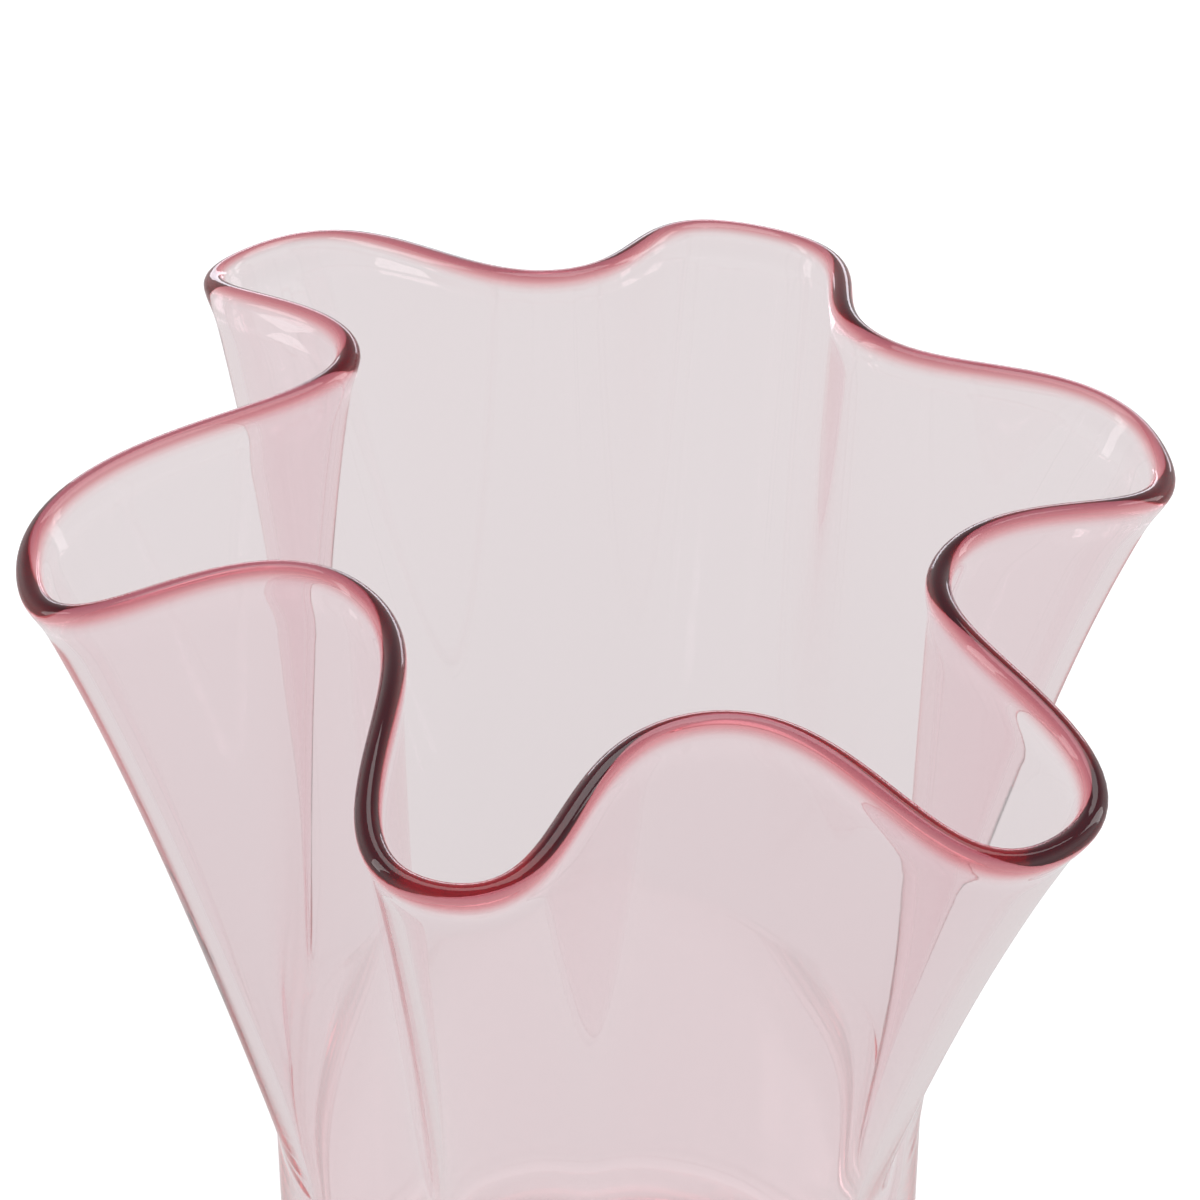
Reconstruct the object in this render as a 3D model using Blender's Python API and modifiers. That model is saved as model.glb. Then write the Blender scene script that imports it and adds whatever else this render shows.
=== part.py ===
"""A mouth-blown vase of pale pink glass, made in one piece.

The lower body is a straight round cylinder on a thick flat base. At the waist
the wall bends outwards and opens into a flare that is gathered in six folds,
like a handkerchief held up by its middle, and ends in a fire-polished lip.
"""

import math

import bpy
from mathutils import Vector
from mathutils.geometry import interpolate_bezier

# Driving sizes, in metres
BODY_RADIUS = 0.0687
WAIST_HEIGHT = 0.108
FLARE_LENGTH = 0.162
LIP_REACH = 0.124
WAIST_BEND = 0.005
WALL = 0.004
BASE_THICKNESS = 0.010
FOOT_ROUNDING = 0.005
LIP_ROUNDING = 0.0018

# The edges of the lip are the only ones that turn this far, in degrees
LIP_EDGE_ANGLE = 60

# The curl of the glass at the lip grows as this power of its rise
CURL_POWER = 4

# How evenly the glass of a fold's side spreads at the waist: 1 is evenly, and
# 0 brings the whole side down to one line.
SIDE_SPREAD = 0.2

# The lip seen from above, counter-clockwise, a lobe and a fold by turns. Each
# has its bearing in degrees, its reach from the axis to the middle of the wall,
# how far its curve runs on behind and ahead of it, the bearing at which its
# glass leaves the waist, how far of the way to the next one its side lands
# there, and how much of its way out it makes near the lip. The three lengths
# are shares of the furthest lobe's reach, LIP_REACH.
LIP = (
    # bearing, reach, behind, ahead, foot, landing, curl
    (8, 0.895, 0.210, 0.290, 8, 0.50, 0.26),
    (42, 0.589, 0.210, 0.161, 40, 0.50, 0.10),
    (69, 0.786, 0.226, 0.258, 68, 0.50, 0.10),
    (97, 0.573, 0.185, 0.210, 97, 0.50, 0.10),
    (129, 0.935, 0.242, 0.274, 130, 0.80, 0.06),
    (145, 0.512, 0.234, 0.202, 160, 0.50, 0.50),
    (192, 0.883, 0.306, 0.274, 190, 0.50, 0.12),
    (218, 0.444, 0.258, 0.250, 224, 0.60, 0.10),
    (256, 0.911, 0.250, 0.210, 256, 0.50, 0.10),
    (284, 0.589, 0.218, 0.234, 284, 0.50, 0.10),
    (312, 1.000, 0.274, 0.258, 312, 0.65, 0.10),
    (339, 0.556, 0.226, 0.202, 338, 0.50, 0.20),
)
BEARING, REACH, BEHIND, AHEAD, FOOT, LANDING, CURL = range(7)

# Fineness of the mesh
AROUND = 144
FLARE_ROWS = 9
FOOT_ROWS = 3
CURVE_STEPS = 200
LIP_STEPS = 3

# The rows of the flare crowd towards the waist, where the wall bends, by this power
ROW_CROWDING = 1.6

# Colour of the glass
PINK = (0.93, 0.80, 0.82, 1.0)
GLASS_ROUGHNESS = 0.02
GLASS_IOR = 1.5

MIDDLE_RADIUS = BODY_RADIUS - WALL / 2


def polar(bearing, reach):
    """The point of the plan at a bearing in degrees and a distance from the axis."""
    turn = math.radians(bearing)
    return Vector((reach * math.cos(turn), reach * math.sin(turn), 0.0))


def sideways(bearing):
    """The direction of the plan that runs counter-clockwise past a bearing."""
    return polar(bearing + 90, 1.0)


def neighbours():
    """Each lobe or fold of the lip with the next one round."""
    following = LIP[1:] + (LIP[0],)
    return list(zip(LIP, following))


def lip_side(here, there):
    """The curve of the lip from one lobe or fold to the next, in the plan."""
    start = polar(here[BEARING], here[REACH] * LIP_REACH)
    end = polar(there[BEARING], there[REACH] * LIP_REACH)
    leave = start + here[AHEAD] * LIP_REACH * sideways(here[BEARING])
    arrive = end - there[BEHIND] * LIP_REACH * sideways(there[BEARING])
    return interpolate_bezier(start, leave, arrive, end, CURVE_STEPS)


def foot_share(way, landing):
    """How far of the way round the waist a side has come, at a share of its way along the lip."""
    half = 2 * way
    if half < 1:
        even = half * landing
        gathered = landing * (1 - (1 - half) ** 2)
    else:
        even = landing + (1 - landing) * (half - 1)
        gathered = landing + (1 - landing) * (half - 1) ** 2
    return SIDE_SPREAD * even + (1 - SIDE_SPREAD) * gathered


def blend(way, first, second):
    """Runs smoothly from the first value to the second."""
    share = way * way * (3 - 2 * way)
    return first + share * (second - first)


def lip_stations():
    """Points spaced evenly along the lip: their place, the foot of their glass at the waist and their curl."""
    places, feet, curls = [], [], []
    for here, there in neighbours():
        side = lip_side(here, there)
        turn = (there[FOOT] - here[FOOT]) % 360
        for step in range(CURVE_STEPS - 1):
            way = step / (CURVE_STEPS - 1)
            places.append(side[step])
            feet.append(here[FOOT] + turn * foot_share(way, here[LANDING]))
            curls.append(blend(way, here[CURL], there[CURL]))
    runs = [0.0]
    for first, second in zip(places, places[1:] + places[:1]):
        runs.append(runs[-1] + (second - first).length)
    stations = []
    nearest = 0
    for count in range(AROUND):
        wanted = runs[-1] * count / AROUND
        while runs[nearest + 1] <= wanted:
            nearest += 1
        stations.append((places[nearest], polar(feet[nearest], MIDDLE_RADIUS), curls[nearest]))
    return stations


def way_out(rise, curl):
    """The share of its way out that the wall has made at a share of its rise above the waist."""
    bend = WAIST_BEND / FLARE_LENGTH
    straight = (math.hypot(rise, bend) - bend) / (math.hypot(1.0, bend) - bend)
    return (1 - curl) * straight + curl * rise**CURL_POWER


def flare_ring(stations, rise):
    """One ring of the flare. Every line of glass is as long, so what leans out most ends lowest."""
    ring = []
    for place, foot, curl in stations:
        spread = place.length - MIDDLE_RADIUS
        height = math.sqrt(FLARE_LENGTH**2 - spread**2)
        point = foot.lerp(place, way_out(rise, curl))
        ring.append((point.x, point.y, WAIST_HEIGHT + height * rise))
    return ring


def body_ring(stations, inset, height):
    """One ring of the round body, drawn in from its side by the inset."""
    scale = 1 - inset / MIDDLE_RADIUS
    return [(foot.x * scale, foot.y * scale, height) for _, foot, _ in stations]


def wall_rings():
    """The middle of the wall as rings, from the flat base round the foot and up to the lip."""
    stations = lip_stations()
    bend = FOOT_ROUNDING - WALL / 2
    rings = []
    for row in range(FOOT_ROWS + 1):
        turn = math.pi / 2 * row / FOOT_ROWS
        inset = bend * (1 - math.sin(turn))
        height = WALL / 2 + bend * (1 - math.cos(turn))
        rings.append(body_ring(stations, inset, height))
    top = 1 + WALL / 2 / FLARE_LENGTH
    for row in range(FLARE_ROWS + 1):
        rise = top * (row / FLARE_ROWS) ** ROW_CROWDING
        rings.append(flare_ring(stations, rise))
    return rings


def loft(name, rings):
    """A surface through rings of equal length, closed at its first ring and open at its last."""
    count = len(rings[0])
    points = [point for ring in rings for point in ring]
    faces = [tuple(reversed(range(count)))]
    for row in range(len(rings) - 1):
        low = row * count
        high = low + count
        for here in range(count):
            after = (here + 1) % count
            faces.append((low + here, low + after, high + after, high + here))
    mesh = bpy.data.meshes.new(name)
    mesh.from_pydata(points, [], faces)
    mesh.update()
    return bpy.data.objects.new(name, mesh)


def glass():
    """Clear glass tinted pale pink in the mass."""
    material = bpy.data.materials.new("pink_glass")
    material.use_nodes = True
    surface = material.node_tree.nodes["Principled BSDF"]
    surface.inputs["Base Color"].default_value = PINK
    surface.inputs["Roughness"].default_value = GLASS_ROUGHNESS
    surface.inputs["Metallic"].default_value = 0.0
    surface.inputs["IOR"].default_value = GLASS_IOR
    surface.inputs["Transmission Weight"].default_value = 1.0
    return material


def base_pad(collection):
    """The gather of glass that makes the floor thick. It sinks half into the wall around it and below it."""
    depth = BASE_THICKNESS - WALL / 2
    bpy.ops.mesh.primitive_cylinder_add(
        vertices=AROUND,
        radius=MIDDLE_RADIUS,
        depth=depth,
        location=(0.0, 0.0, WALL / 2 + depth / 2),
    )
    pad = bpy.context.active_object
    pad.name = "base_pad"
    pad.hide_render = True
    pad.display_type = "WIRE"
    for holder in list(pad.users_collection):
        holder.objects.unlink(pad)
    collection.objects.link(pad)
    return pad


def vase(collection, tools):
    """The whole vase: the lofted wall, its thickness, its rounded lip and its thick base."""
    body = loft("vase", wall_rings())
    collection.objects.link(body)
    body.data.materials.append(glass())

    thickness = body.modifiers.new("wall", "SOLIDIFY")
    thickness.thickness = WALL
    thickness.offset = 0.0
    thickness.use_even_offset = True

    lip = body.modifiers.new("lip", "BEVEL")
    lip.width = LIP_ROUNDING
    lip.segments = LIP_STEPS
    lip.limit_method = "ANGLE"
    lip.angle_limit = math.radians(LIP_EDGE_ANGLE)

    floor = body.modifiers.new("floor", "BOOLEAN")
    floor.operation = "UNION"
    floor.solver = "EXACT"
    floor.object = base_pad(tools)

    body.data.shade_smooth()
    return body


for old in list(bpy.data.objects):
    bpy.data.objects.remove(old)

model = bpy.data.collections.new("pink_glass_vase")
cutters = bpy.data.collections.new("cutters")
bpy.context.scene.collection.children.link(model)
bpy.context.scene.collection.children.link(cutters)
vase(model, cutters)
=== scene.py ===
"""Looks of a mouth-blown vase of pale pink glass with a folded flare.

The vase is one skin of glass, worked out as a profile carried round the lip:
up the outside from the base, over the fire-polished lip and down the inside.
"""

import math

import bpy
import numpy as np
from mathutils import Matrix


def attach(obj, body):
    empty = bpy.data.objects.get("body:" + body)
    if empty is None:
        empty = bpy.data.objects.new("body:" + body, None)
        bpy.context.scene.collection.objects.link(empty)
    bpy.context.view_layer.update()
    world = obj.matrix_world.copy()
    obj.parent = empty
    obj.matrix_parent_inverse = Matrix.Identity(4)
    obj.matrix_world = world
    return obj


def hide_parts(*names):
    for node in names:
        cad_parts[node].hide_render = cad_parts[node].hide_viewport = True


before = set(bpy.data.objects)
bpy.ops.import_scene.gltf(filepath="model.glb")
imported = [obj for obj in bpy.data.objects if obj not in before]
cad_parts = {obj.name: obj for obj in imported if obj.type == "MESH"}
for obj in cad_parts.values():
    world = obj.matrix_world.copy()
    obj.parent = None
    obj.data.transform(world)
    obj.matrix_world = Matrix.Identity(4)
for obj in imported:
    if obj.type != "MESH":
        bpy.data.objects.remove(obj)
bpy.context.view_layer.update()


# The wall of the vase
# One gather of clear glass tinted pale pink, blown into a straight round body.
# Its upper part is spun open while soft, so it falls into six lobes and folds
# round a flare that every line of glass climbs for the same length.

BODY_RADIUS = 0.0687
WAIST_HEIGHT = 0.108
FLARE_LENGTH = 0.162
LIP_REACH = 0.124
WAIST_BEND = 0.005
WALL = 0.0039
SIDE_SPREAD = 0.2
CURL_POWER = 4
AROUND = 400
SIDE_STEPS = 400
SOFTNESS = 0.0030
FOOT_SOFTNESS = 0.0120

LOBES_AND_FOLDS = np.array([
    # bearing, reach, behind, ahead, foot, landing, curl
    (8, 0.895, 0.210, 0.290, 8, 0.50, 0.26),
    (42, 0.589, 0.210, 0.161, 40, 0.50, 0.10),
    (69, 0.786, 0.226, 0.258, 68, 0.50, 0.10),
    (97, 0.573, 0.185, 0.210, 97, 0.50, 0.10),
    (129, 0.935, 0.242, 0.274, 130, 0.80, 0.06),
    (145, 0.512, 0.234, 0.202, 160, 0.50, 0.50),
    (192, 0.883, 0.306, 0.274, 190, 0.50, 0.12),
    (218, 0.444, 0.258, 0.250, 224, 0.60, 0.10),
    (256, 0.911, 0.250, 0.210, 256, 0.50, 0.10),
    (284, 0.589, 0.218, 0.234, 284, 0.50, 0.10),
    (312, 1.000, 0.274, 0.258, 312, 0.65, 0.10),
    (339, 0.556, 0.226, 0.202, 338, 0.50, 0.20),
])


def along(bearing):
    """Unit vectors of the plan at bearings in degrees: (cos, sin, 0)."""
    turn = np.radians(bearing)
    return np.stack([np.cos(turn), np.sin(turn), np.zeros_like(turn)], axis=-1)


def lip_curve():
    """The lip in the plan, one cubic Bezier curve from each lobe or fold to the next.

    Each point is (1-t)^3 a + 3 (1-t)^2 t b + 3 (1-t) t^2 c + t^3 d. With it come
    the bearing at which its glass leaves the waist and its curl: a side's glass
    gathers about its landing, by a parabola on either side of it, mixed with an
    even spread.
    """
    bearing, reach, behind, ahead, foot, landing, curl = LOBES_AND_FOLDS.T
    knots = along(bearing) * (reach * LIP_REACH)[:, None]
    sideways = along(bearing + 90) * LIP_REACH
    start, end = knots, np.roll(knots, -1, axis=0)
    leave = start + ahead[:, None] * sideways
    arrive = end - np.roll(behind[:, None] * sideways, -1, axis=0)
    t = (np.arange(SIDE_STEPS) / SIDE_STEPS)[None, :, None]
    start, leave, arrive, end = (a[:, None, :] for a in (start, leave, arrive, end))
    curve = (1 - t) ** 3 * start + 3 * (1 - t) ** 2 * t * leave
    curve = curve + 3 * (1 - t) * t**2 * arrive + t**3 * end

    way = t[:, :, 0]
    land = landing[:, None]
    first = np.minimum(2 * way, 1)
    second = np.maximum(2 * way - 1, 0)
    even = land * first + (1 - land) * second
    gathered = land * (1 - (1 - first) ** 2) + (1 - land) * second**2
    share = SIDE_SPREAD * even + (1 - SIDE_SPREAD) * gathered
    turn = (np.roll(foot, -1) - foot) % 360
    feet = foot[:, None] + turn[:, None] * share
    ease = way * way * (3 - 2 * way)
    curls = curl[:, None] + ease * (np.roll(curl, -1) - curl)[:, None]
    return curve.reshape(-1, 3), feet.ravel(), curls.ravel()


def softened(values, spacing, width):
    """Values round the lip, each the mean of its neighbours under a bell curve."""
    gap = np.arange(AROUND)
    gap = np.minimum(gap, AROUND - gap) * spacing
    bell = np.exp(-0.5 * (gap / width) ** 2)
    weight = np.fft.fft(bell / bell.sum())
    weight = weight.reshape((-1,) + (1,) * (values.ndim - 1))
    return np.fft.ifft(np.fft.fft(values, axis=0) * weight, axis=0).real


def stations():
    """Places spaced evenly along the lip, with the directions of their feet at the waist and their curls."""
    curve, feet, curls = lip_curve()
    runs = np.linalg.norm(np.roll(curve, -1, axis=0) - curve, axis=1)
    reached = np.concatenate([[0.0], np.cumsum(runs)])
    wanted = reached[-1] * np.arange(AROUND) / AROUND
    places = np.stack([np.interp(wanted, reached, np.append(c, c[0])) for c in curve.T], axis=1)
    feet = np.interp(wanted, reached, np.append(feet, feet[0] + 360))
    curls = np.interp(wanted, reached, np.append(curls, curls[0]))
    spacing = reached[-1] / AROUND
    evenly = 360 * np.arange(AROUND) / AROUND
    feet = along(evenly + softened(feet - evenly, spacing, FOOT_SOFTNESS))
    return softened(places, spacing, SOFTNESS), feet, softened(curls, spacing, FOOT_SOFTNESS)


def flare(places, feet, curls, rises):
    """Rings of the middle of the flaring wall, from the waist at rise 0 to the lip at rise 1.

    A point lies between its foot and its place on the lip by (1-c) h + c r^4,
    where c is the curl, r the rise and h a hyperbola that bends at the waist.
    It stands at r sqrt(length^2 - spread^2), so each line of glass is as long.
    """
    bend = WAIST_BEND / FLARE_LENGTH
    middle = BODY_RADIUS - WALL / 2
    rise = rises[:, None]
    straight = (np.hypot(rise, bend) - bend) / (math.hypot(1.0, bend) - bend)
    out = (1 - curls) * straight + curls * rise**CURL_POWER
    spread = np.linalg.norm(places, axis=1) - middle
    height = np.sqrt(FLARE_LENGTH**2 - spread**2)
    rings = middle * feet + out[..., None] * (places - middle * feet)
    rings[..., 2] = WAIST_HEIGHT + rise * height
    return rings


def tube(feet, radii, heights):
    """Round rings about the vertical axis, one for each radius and height."""
    rings = np.asarray(radii)[:, None, None] * feet
    rings[..., 2] = np.asarray(heights)[:, None]
    return rings


def outward(rings):
    """Unit normals of a stack of rings: the way round crossed with the way up."""
    around = np.roll(rings, -1, axis=1) - np.roll(rings, 1, axis=1)
    up = np.roll(rings, -1, axis=0) - np.roll(rings, 1, axis=0)
    up[0], up[-1] = rings[1] - rings[0], rings[-1] - rings[-2]
    normal = np.cross(around, up)
    return normal / np.linalg.norm(normal, axis=-1, keepdims=True)


FOOT_ROUNDING = 0.005
FLOOR_HEIGHT = 0.010
FLOOR_ROUNDING = 0.020
LIP_ABOVE = 0.0020
LIP_TAPER = 0.0026
BEAD_WALL = 0.0050
BEAD_DEPTH = 0.0045
BEAD_LENGTH = 0.013
FLARE_WALL = 0.0033
FOLD_REACH = 0.070
# How far down the lip's painted shade runs: leans, then depths; deepest on lobes that lean to the front.
PAINTED_SHADE_BY_LEAN = ((-0.0050, 0.0, 0.0045), (0.0078, 0.0041, 0.0017))
FLARE_ROWS = 56
BEAD_ROWS = 10
BODY_ROWS = 4
ROUND_ROWS = 8
FLAT_ROWS = 6
INNERMOST = 0.1
LIP_ROWS = 16
ROW_CROWDING = 1.6


def glass_skin():
    """Rings from the middle of the underside, over the lip, to the middle of the floor.

    The wall's two faces stand half its thickness off its middle along the
    normal, and the wall swells under the lip by a bell curve. The lip is half
    an ellipse between them, as high as its taper. Foot and floor are quarter
    circles. With the rings come their points' depths below the top of the lip,
    as shares of how far down the painted shade of the lip runs there: a dark
    wine to rose band painted in for the light trapped in the thick lip. It runs
    furthest on the lobes that lean to the front, and least on those at the back.
    """
    places, feet, curls = stations()
    low = np.linspace(FLOOR_HEIGHT + FLOOR_ROUNDING, WAIST_HEIGHT, BODY_ROWS, endpoint=False)
    body = tube(feet, np.full(BODY_ROWS, BODY_RADIUS - WALL / 2), low)
    shoulder = 1 - (LIP_TAPER - LIP_ABOVE) / FLARE_LENGTH
    neck = shoulder - BEAD_LENGTH / FLARE_LENGTH
    rises = neck * (np.arange(FLARE_ROWS) / FLARE_ROWS) ** ROW_CROWDING
    rises = np.concatenate([rises, np.linspace(neck, shoulder, BEAD_ROWS + 1)])
    wall = np.concatenate([body, flare(places, feet, curls, rises)])
    normal = outward(wall)
    climb = np.concatenate([np.linspace(-1, 0, BODY_ROWS, endpoint=False), rises])
    below = (shoulder - climb) * FLARE_LENGTH
    plain = np.interp(climb, [-1, 1], [WALL, FLARE_WALL])
    swell = (BEAD_WALL - FLARE_WALL) * np.exp(-((below / BEAD_DEPTH) ** 2))
    half = ((plain + swell) / 2)[:, None, None]
    outer = wall + half * normal
    inner = wall - half * normal

    top = wall[-1]
    up = top - wall[-2]
    up = up / np.linalg.norm(up, axis=1, keepdims=True)
    turn = (np.pi * np.arange(1, LIP_ROWS) / LIP_ROWS)[:, None, None]
    lip = top + half[-1] * np.cos(turn) * normal[-1] + LIP_TAPER * np.sin(turn) * up

    quarter = np.linspace(0, np.pi / 2, ROUND_ROWS)
    flat = np.linspace(INNERMOST, 1, FLAT_ROWS, endpoint=False)
    foot_radius = BODY_RADIUS - FOOT_ROUNDING
    under = tube(feet, foot_radius * flat, np.zeros(FLAT_ROWS))
    foot = tube(
        feet,
        foot_radius + FOOT_ROUNDING * np.sin(quarter),
        FOOT_ROUNDING * (1 - np.cos(quarter)),
    )
    floor_radius = BODY_RADIUS - WALL - FLOOR_ROUNDING
    corner = tube(
        feet,
        floor_radius + FLOOR_ROUNDING * np.cos(quarter[1:]),
        FLOOR_HEIGHT + FLOOR_ROUNDING * (1 - np.sin(quarter[1:])),
    )
    floor = tube(feet, floor_radius * flat[::-1], np.full(FLAT_ROWS, FLOOR_HEIGHT))
    rings = np.concatenate([under, foot, outer, lip, inner[::-1], corner, floor])

    side = LIP_TAPER + below
    over = LIP_TAPER * (1 - np.sin(turn.ravel()))
    outside = np.full(len(under) + len(foot), side[0])
    inside = np.full(len(corner) + len(floor), side[0])
    depths = np.concatenate([outside, side, over, side[::-1], inside])
    lean = (np.linalg.norm(places, axis=1) - FOLD_REACH) * places[:, 1]
    return rings, depths[:, None] / np.interp(lean, *PAINTED_SHADE_BY_LEAN)


def closed_mesh(name, rings, shares):
    """A mesh of a stack of rings: quads between neighbours, and a fan of triangles to each end's middle.

    Its points keep their shares of how far down the painted shade of the lip runs.
    """
    rows, count, _ = rings.shape
    ends = np.stack([rings[0].mean(axis=0), rings[-1].mean(axis=0)])
    points = np.concatenate([rings.reshape(-1, 3), ends])
    here = np.arange(count)
    after = (here + 1) % count
    row = np.arange(rows - 1)[:, None] * count
    quads = np.stack([row + here, row + after, row + count + after, row + count + here], axis=-1)
    last = (rows - 1) * count
    first_fan = np.stack([np.full(count, rows * count), after, here], axis=-1)
    last_fan = np.stack([np.full(count, rows * count + 1), last + here, last + after], axis=-1)
    faces = quads.reshape(-1, 4).tolist() + first_fan.tolist() + last_fan.tolist()
    mesh = bpy.data.meshes.new(name)
    mesh.from_pydata(points.tolist(), [], faces)
    mesh.shade_smooth()
    below = mesh.attributes.new("below_lip", "FLOAT", "POINT")
    below.data.foreach_set("value", np.append(shares, [shares.max(), shares.max()]))
    return mesh


class Channel:
    """A socket of a node tree that takes + and *, as a number does. A tree's first one has no socket yet."""

    def __init__(self, tree, socket=None):
        self.tree = tree
        self.socket = socket

    def node(self, kind, settings=None, values=None, output=0):
        """A new node: its settings or its ramp's stops first, then its sockets' values or links."""
        made = self.tree.nodes.new(kind)
        for key, value in (settings or {}).items():
            if key == "stops":
                elements = made.color_ramp.elements
                for share, _ in value[2:]:
                    elements.new(share)
                for element, (share, colour) in zip(elements, value):
                    element.position = share
                    element.color = colour
            else:
                setattr(made, key, value)
        for key, value in (values or {}).items():
            if isinstance(value, Channel):
                value.into(made, key)
            else:
                made.inputs[key].default_value = value
        return Channel(self.tree, made.outputs[output])

    def into(self, node, key):
        """Links this socket to one of a node's inputs."""
        self.tree.links.new(self.socket, node.inputs[key])

    def maths(self, operation, first, second):
        """A Math node's result for two inputs."""
        return self.node("ShaderNodeMath", {"operation": operation}, {0: first, 1: second})

    def faded(self, near, far, first, last):
        """Runs smoothly from the first value at the near input to the last at the far one."""
        values = {"Value": self, "From Min": near, "From Max": far, "To Min": first, "To Max": last}
        return self.node("ShaderNodeMapRange", {"interpolation_type": "SMOOTHSTEP"}, values)

    def ramp(self, stops):
        """Colours at shares of the way from 0 to 1, blended between."""
        return self.node("ShaderNodeValToRGB", {"stops": stops}, {"Fac": self})

    def __add__(self, other):
        return self.maths("ADD", self, other)

    def __radd__(self, other):
        return self.maths("ADD", other, self)

    def __mul__(self, other):
        return self.maths("MULTIPLY", self, other)

    def __rmul__(self, other):
        return self.maths("MULTIPLY", other, self)


PINK = (0.84, 0.33, 0.36, 1.0)
TINT_DENSITY = 17.0
GLASS_IOR = 1.5
RIPPLE_SCALE = 22.0
RIPPLE_STRETCH = (1.0, 1.0, 0.25)
RIPPLE_DEPTH = 0.00007
# Painted shade: the stops from wine at the top of the lip to rose stand in for light trapped in the thick
# lip; the last stop is the glass's own faint tint.
TINT_AND_PAINTED_LIP_SHADE = (
    # share of the depth, colour
    (0.00, (0.24, 0.03, 0.05, 1.0)),
    (0.14, (0.50, 0.09, 0.11, 1.0)),
    (0.30, (0.70, 0.22, 0.24, 1.0)),
    (0.50, (0.86, 0.50, 0.52, 1.0)),
    (0.70, (0.95, 0.79, 0.81, 1.0)),
    (1.00, (0.980, 0.930, 0.945, 1.0)),
)
# Painted light: the lip's faint wine-red glow, which no lamp gives, in place of its long inner reflections.
PAINTED_LIP_GLOW = (
    # share of the depth, colour
    (0.00, (0.045, 0.008, 0.012, 1.0)),
    (0.30, (0.036, 0.006, 0.008, 1.0)),
    (0.60, (0.010, 0.002, 0.002, 1.0)),
    (0.90, (0.0, 0.0, 0.0, 1.0)),
)


def pink_glass():
    """Clear glass with faint upright ripples, which takes light out along its way through the mass.

    It takes out green most of all. Its base colour is its own faint tint, which
    darkens towards the top of the lip through rose to wine red: painted shade for
    the light trapped in the thick lip. The lip also glows a faint wine red, painted
    light in place of its long inner reflections.
    """
    material = bpy.data.materials.new("pink_glass")
    material.cycles.emission_sampling = "NONE"
    material.use_nodes = True
    tree = material.node_tree
    surface = tree.nodes["Principled BSDF"]
    start = Channel(tree)
    place = start.node("ShaderNodeTexCoord", output="Object")
    stretched = start.node("ShaderNodeMapping", None, {"Vector": place, "Scale": RIPPLE_STRETCH})
    noise = {"Vector": stretched, "Scale": RIPPLE_SCALE, "Detail": 0.0}
    height = start.node("ShaderNodeTexNoise", None, noise) * RIPPLE_DEPTH
    start.node("ShaderNodeBump", None, {"Height": height, "Distance": 1.0}).into(surface, "Normal")
    below = start.node("ShaderNodeAttribute", {"attribute_name": "below_lip"}, output="Fac")
    # Painted shade: the lip's base colour darkens through rose to wine.
    below.ramp(TINT_AND_PAINTED_LIP_SHADE).into(surface, "Base Color")
    # Painted light: the lip glows a faint wine red.
    below.ramp(PAINTED_LIP_GLOW).into(surface, "Emission Color")
    surface.inputs["Emission Strength"].default_value = 1.0
    surface.inputs["Roughness"].default_value = 0.0
    surface.inputs["IOR"].default_value = GLASS_IOR
    surface.inputs["Transmission Weight"].default_value = 1.0
    tint = start.node("ShaderNodeVolumeAbsorption", None, {"Color": PINK, "Density": TINT_DENSITY})
    tint.into(tree.nodes["Material Output"], "Volume")
    return material


vase = bpy.data.objects.new("blown_glass", closed_mesh("blown_glass", *glass_skin()))
bpy.context.scene.collection.objects.link(vase)
vase.data.materials.append(pink_glass())
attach(vase, "root")
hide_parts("vase")


# The floor
# White paper that runs out of sight. It takes the lamps' light and the vase's
# shadow, and its own glow brings it up to white. Where the glass shows it, no
# lamp lights it: a plain glow with a painted shadow round the vase and a
# painted pool of light under it, where it is brightest.

FLOOR_SIZE = 12.0
FLOOR_DROP = 0.0003
FLOOR_WHITE = 0.80
FLOOR_GLOW = 0.48
WHITE_OUT = (0.4, 2.0)
# Painted light and shadow of the paper behind the glass: a glow a little dimmer near the vase, with a
# painted pool of light under it.
NEAR_LIGHT = 0.74
FAR_LIGHT = 0.79
PASSED_OUT = (0.05, 0.45)
PAINTED_POOL_GLOW = 0.50
PAINTED_POOL_OUT = (0.03, 0.10)
BRIGHTEST = NEAR_LIGHT + PAINTED_POOL_GLOW

side = FLOOR_SIZE / 2
corners = [(x * side, y * side, -FLOOR_DROP) for x, y in ((-1, -1), (1, -1), (1, 1), (-1, 1))]
ground_mesh = bpy.data.meshes.new("studio_floor")
ground_mesh.from_pydata(corners, [], [(0, 1, 2, 3)])
ground = bpy.data.objects.new("studio_floor", ground_mesh)
bpy.context.scene.collection.objects.link(ground)

paper = bpy.data.materials.new("white_paper")
paper.cycles.emission_sampling = "NONE"
paper.use_nodes = True
paper_face = paper.node_tree.nodes["Principled BSDF"]
paper_face.inputs["Base Color"].default_value = (FLOOR_WHITE, FLOOR_WHITE, FLOOR_WHITE, 1.0)
paper_face.inputs["Roughness"].default_value = 1.0
paper_face.inputs["Specular IOR Level"].default_value = 0.0
paper_face.inputs["Emission Strength"].default_value = 1.0
start = Channel(paper.node_tree)
camera_ray = start.node("ShaderNodeLightPath", output="Is Camera Ray")
glossy_ray = start.node("ShaderNodeLightPath", output="Is Glossy Ray")
passed_ray = start.node("ShaderNodeLightPath", output="Is Transmission Ray")
spot = start.node("ShaderNodeTexCoord", output="Object")
away = start.node("ShaderNodeVectorMath", {"operation": "LENGTH"}, {0: spot}, "Value")
glow = camera_ray * away.faded(*WHITE_OUT, FLOOR_GLOW, 1.0)
glow.into(paper_face, "Emission Color")
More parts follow.
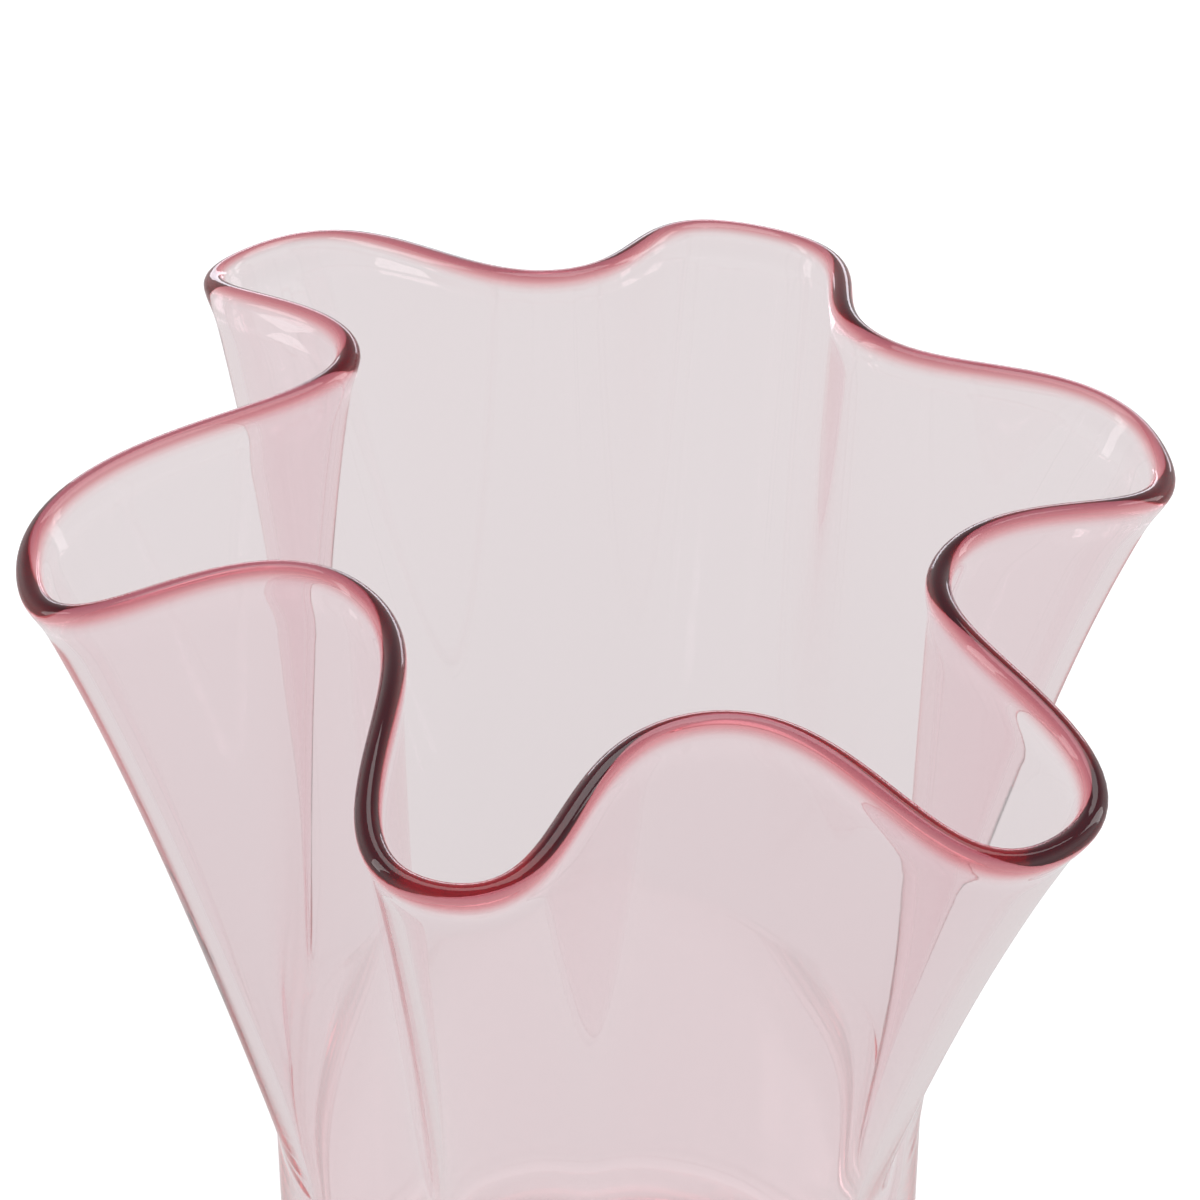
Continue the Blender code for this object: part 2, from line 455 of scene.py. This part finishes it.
# Painted light: behind the glass the paper is a glow with a painted shadow round the vase and a painted pool
# of light under it.
light = away.faded(*PASSED_OUT, NEAR_LIGHT, FAR_LIGHT) + away.faded(*PAINTED_POOL_OUT, PAINTED_POOL_GLOW, 0.0)
full_light = {"Color": (1.0, 1.0, 1.0, 1.0), "Strength": BRIGHTEST}
full_glow = start.node("ShaderNodeEmission", None, full_light)
behind_glass = start.node("ShaderNodeMixShader", None, {0: light * (1 / BRIGHTEST), 2: full_glow})
shown = {0: glossy_ray + passed_ray, 1: Channel(paper.node_tree, paper_face.outputs[0]), 2: behind_glass}
start.node("ShaderNodeMixShader", None, shown).into(paper.node_tree.nodes["Material Output"], "Surface")
ground_mesh.materials.append(paper)


# The studio
# White paper stands round the floor and grows darker overhead, where only the
# lamps hang: soft boxes above and behind, and a strip on each side.

STUDIO_LIGHT = 0.95
PAPER_ROUND = (
    # height of the direction, colour
    (0.25, (1.0, 1.0, 1.0, 1.0)),
    (0.70, (0.30, 0.30, 0.32, 1.0)),
)
LAMPS = (
    # name, place, aim, size, power, colour
    ("box_overhead", (0.2, 0.3, 1.7), (0.0, 0.0, 0.10), (1.2, 1.0), 8.5, (1.00, 1.00, 1.00)),
    ("box_behind", (0.3, 2.4, 0.55), (0.0, 0.0, 0.20), (3.0, 0.5), 20.0, (0.94, 0.90, 1.00)),
    ("strip_left", (-1.3, -0.2, 0.9), (0.0, 0.0, 0.15), (0.3, 1.2), 3.0, (1.00, 1.00, 1.00)),
    ("strip_right", (1.4, 0.3, 0.8), (0.0, 0.0, 0.15), (0.3, 1.2), 3.0, (1.00, 1.00, 1.00)),
)

world = bpy.data.worlds.new("studio")
bpy.context.scene.world = world
world.use_nodes = True
sky = world.node_tree.nodes["Background"]
start = Channel(world.node_tree)
direction = start.node("ShaderNodeTexCoord", output="Generated")
lift = start.node("ShaderNodeSeparateXYZ", None, {"Vector": direction}, "Z")
lift.ramp(PAPER_ROUND).into(sky, "Color")
seen = start.node("ShaderNodeLightPath", output="Is Camera Ray")
seen = seen + start.node("ShaderNodeLightPath", output="Is Glossy Ray")
seen = seen + start.node("ShaderNodeLightPath", output="Is Transmission Ray")
seen = seen.maths("MINIMUM", seen, 1.0)
strength = seen * (1 - STUDIO_LIGHT) + STUDIO_LIGHT
strength.into(sky, "Strength")


def soft_box(name, place, aim, size, power, colour):
    """A rectangular lamp at a place, turned so that its face looks at the aim."""
    lamp = bpy.data.lights.new(name, "AREA")
    lamp.shape = "RECTANGLE"
    lamp.size, lamp.size_y = size
    lamp.energy = power
    lamp.color = colour
    holder = bpy.data.objects.new(name, lamp)
    x, y, z = (a - b for a, b in zip(aim, place))
    holder.location = place
    holder.rotation_euler = (math.atan2(math.hypot(x, y), -z), 0.0, math.atan2(-x, y))
    bpy.context.scene.collection.objects.link(holder)


for lamp_row in LAMPS:
    soft_box(*lamp_row)


# The camera
# It looks down at the open mouth from in front, through a long lens, and the
# foot of the body stays below its view.

VIEW_DOWN = math.radians(38)
PIXELS = 1200
FOCAL_PIXELS = 4557.0
SENSOR = 36.0
SIGHT_POINT = np.array([0.0, 0.0, 0.262])
SIGHT_PIXEL = (598, 520)
SIGHT_DEPTH = 0.8763

right = np.array([1.0, 0.0, 0.0])
up = np.array([0.0, math.sin(VIEW_DOWN), math.cos(VIEW_DOWN)])
ahead = np.array([0.0, math.cos(VIEW_DOWN), -math.sin(VIEW_DOWN)])
across = (SIGHT_PIXEL[0] - PIXELS / 2) / FOCAL_PIXELS
above = (PIXELS / 2 - SIGHT_PIXEL[1]) / FOCAL_PIXELS

lens = bpy.data.cameras.new("camera")
lens.sensor_width = SENSOR
lens.lens = SENSOR * FOCAL_PIXELS / PIXELS
camera = bpy.data.objects.new("camera", lens)
camera.location = SIGHT_POINT - SIGHT_DEPTH * (ahead + across * right + above * up)
camera.rotation_euler = (math.pi / 2 - VIEW_DOWN, 0.0, 0.0)
bpy.context.scene.collection.objects.link(camera)
bpy.context.scene.camera = camera
bpy.context.scene.view_settings.view_transform = "Standard"

# Light that runs along inside the glass is turned back by its faces dozens of
# times before it leaves, and each of these turns is a glossy bounce.
INNER_TURNS = 128
WALLS_PASSED = 32
PAPER_TURNS = 1

bpy.context.scene.cycles.max_bounces = INNER_TURNS
bpy.context.scene.cycles.glossy_bounces = INNER_TURNS
bpy.context.scene.cycles.transmission_bounces = WALLS_PASSED
bpy.context.scene.cycles.diffuse_bounces = PAPER_TURNS
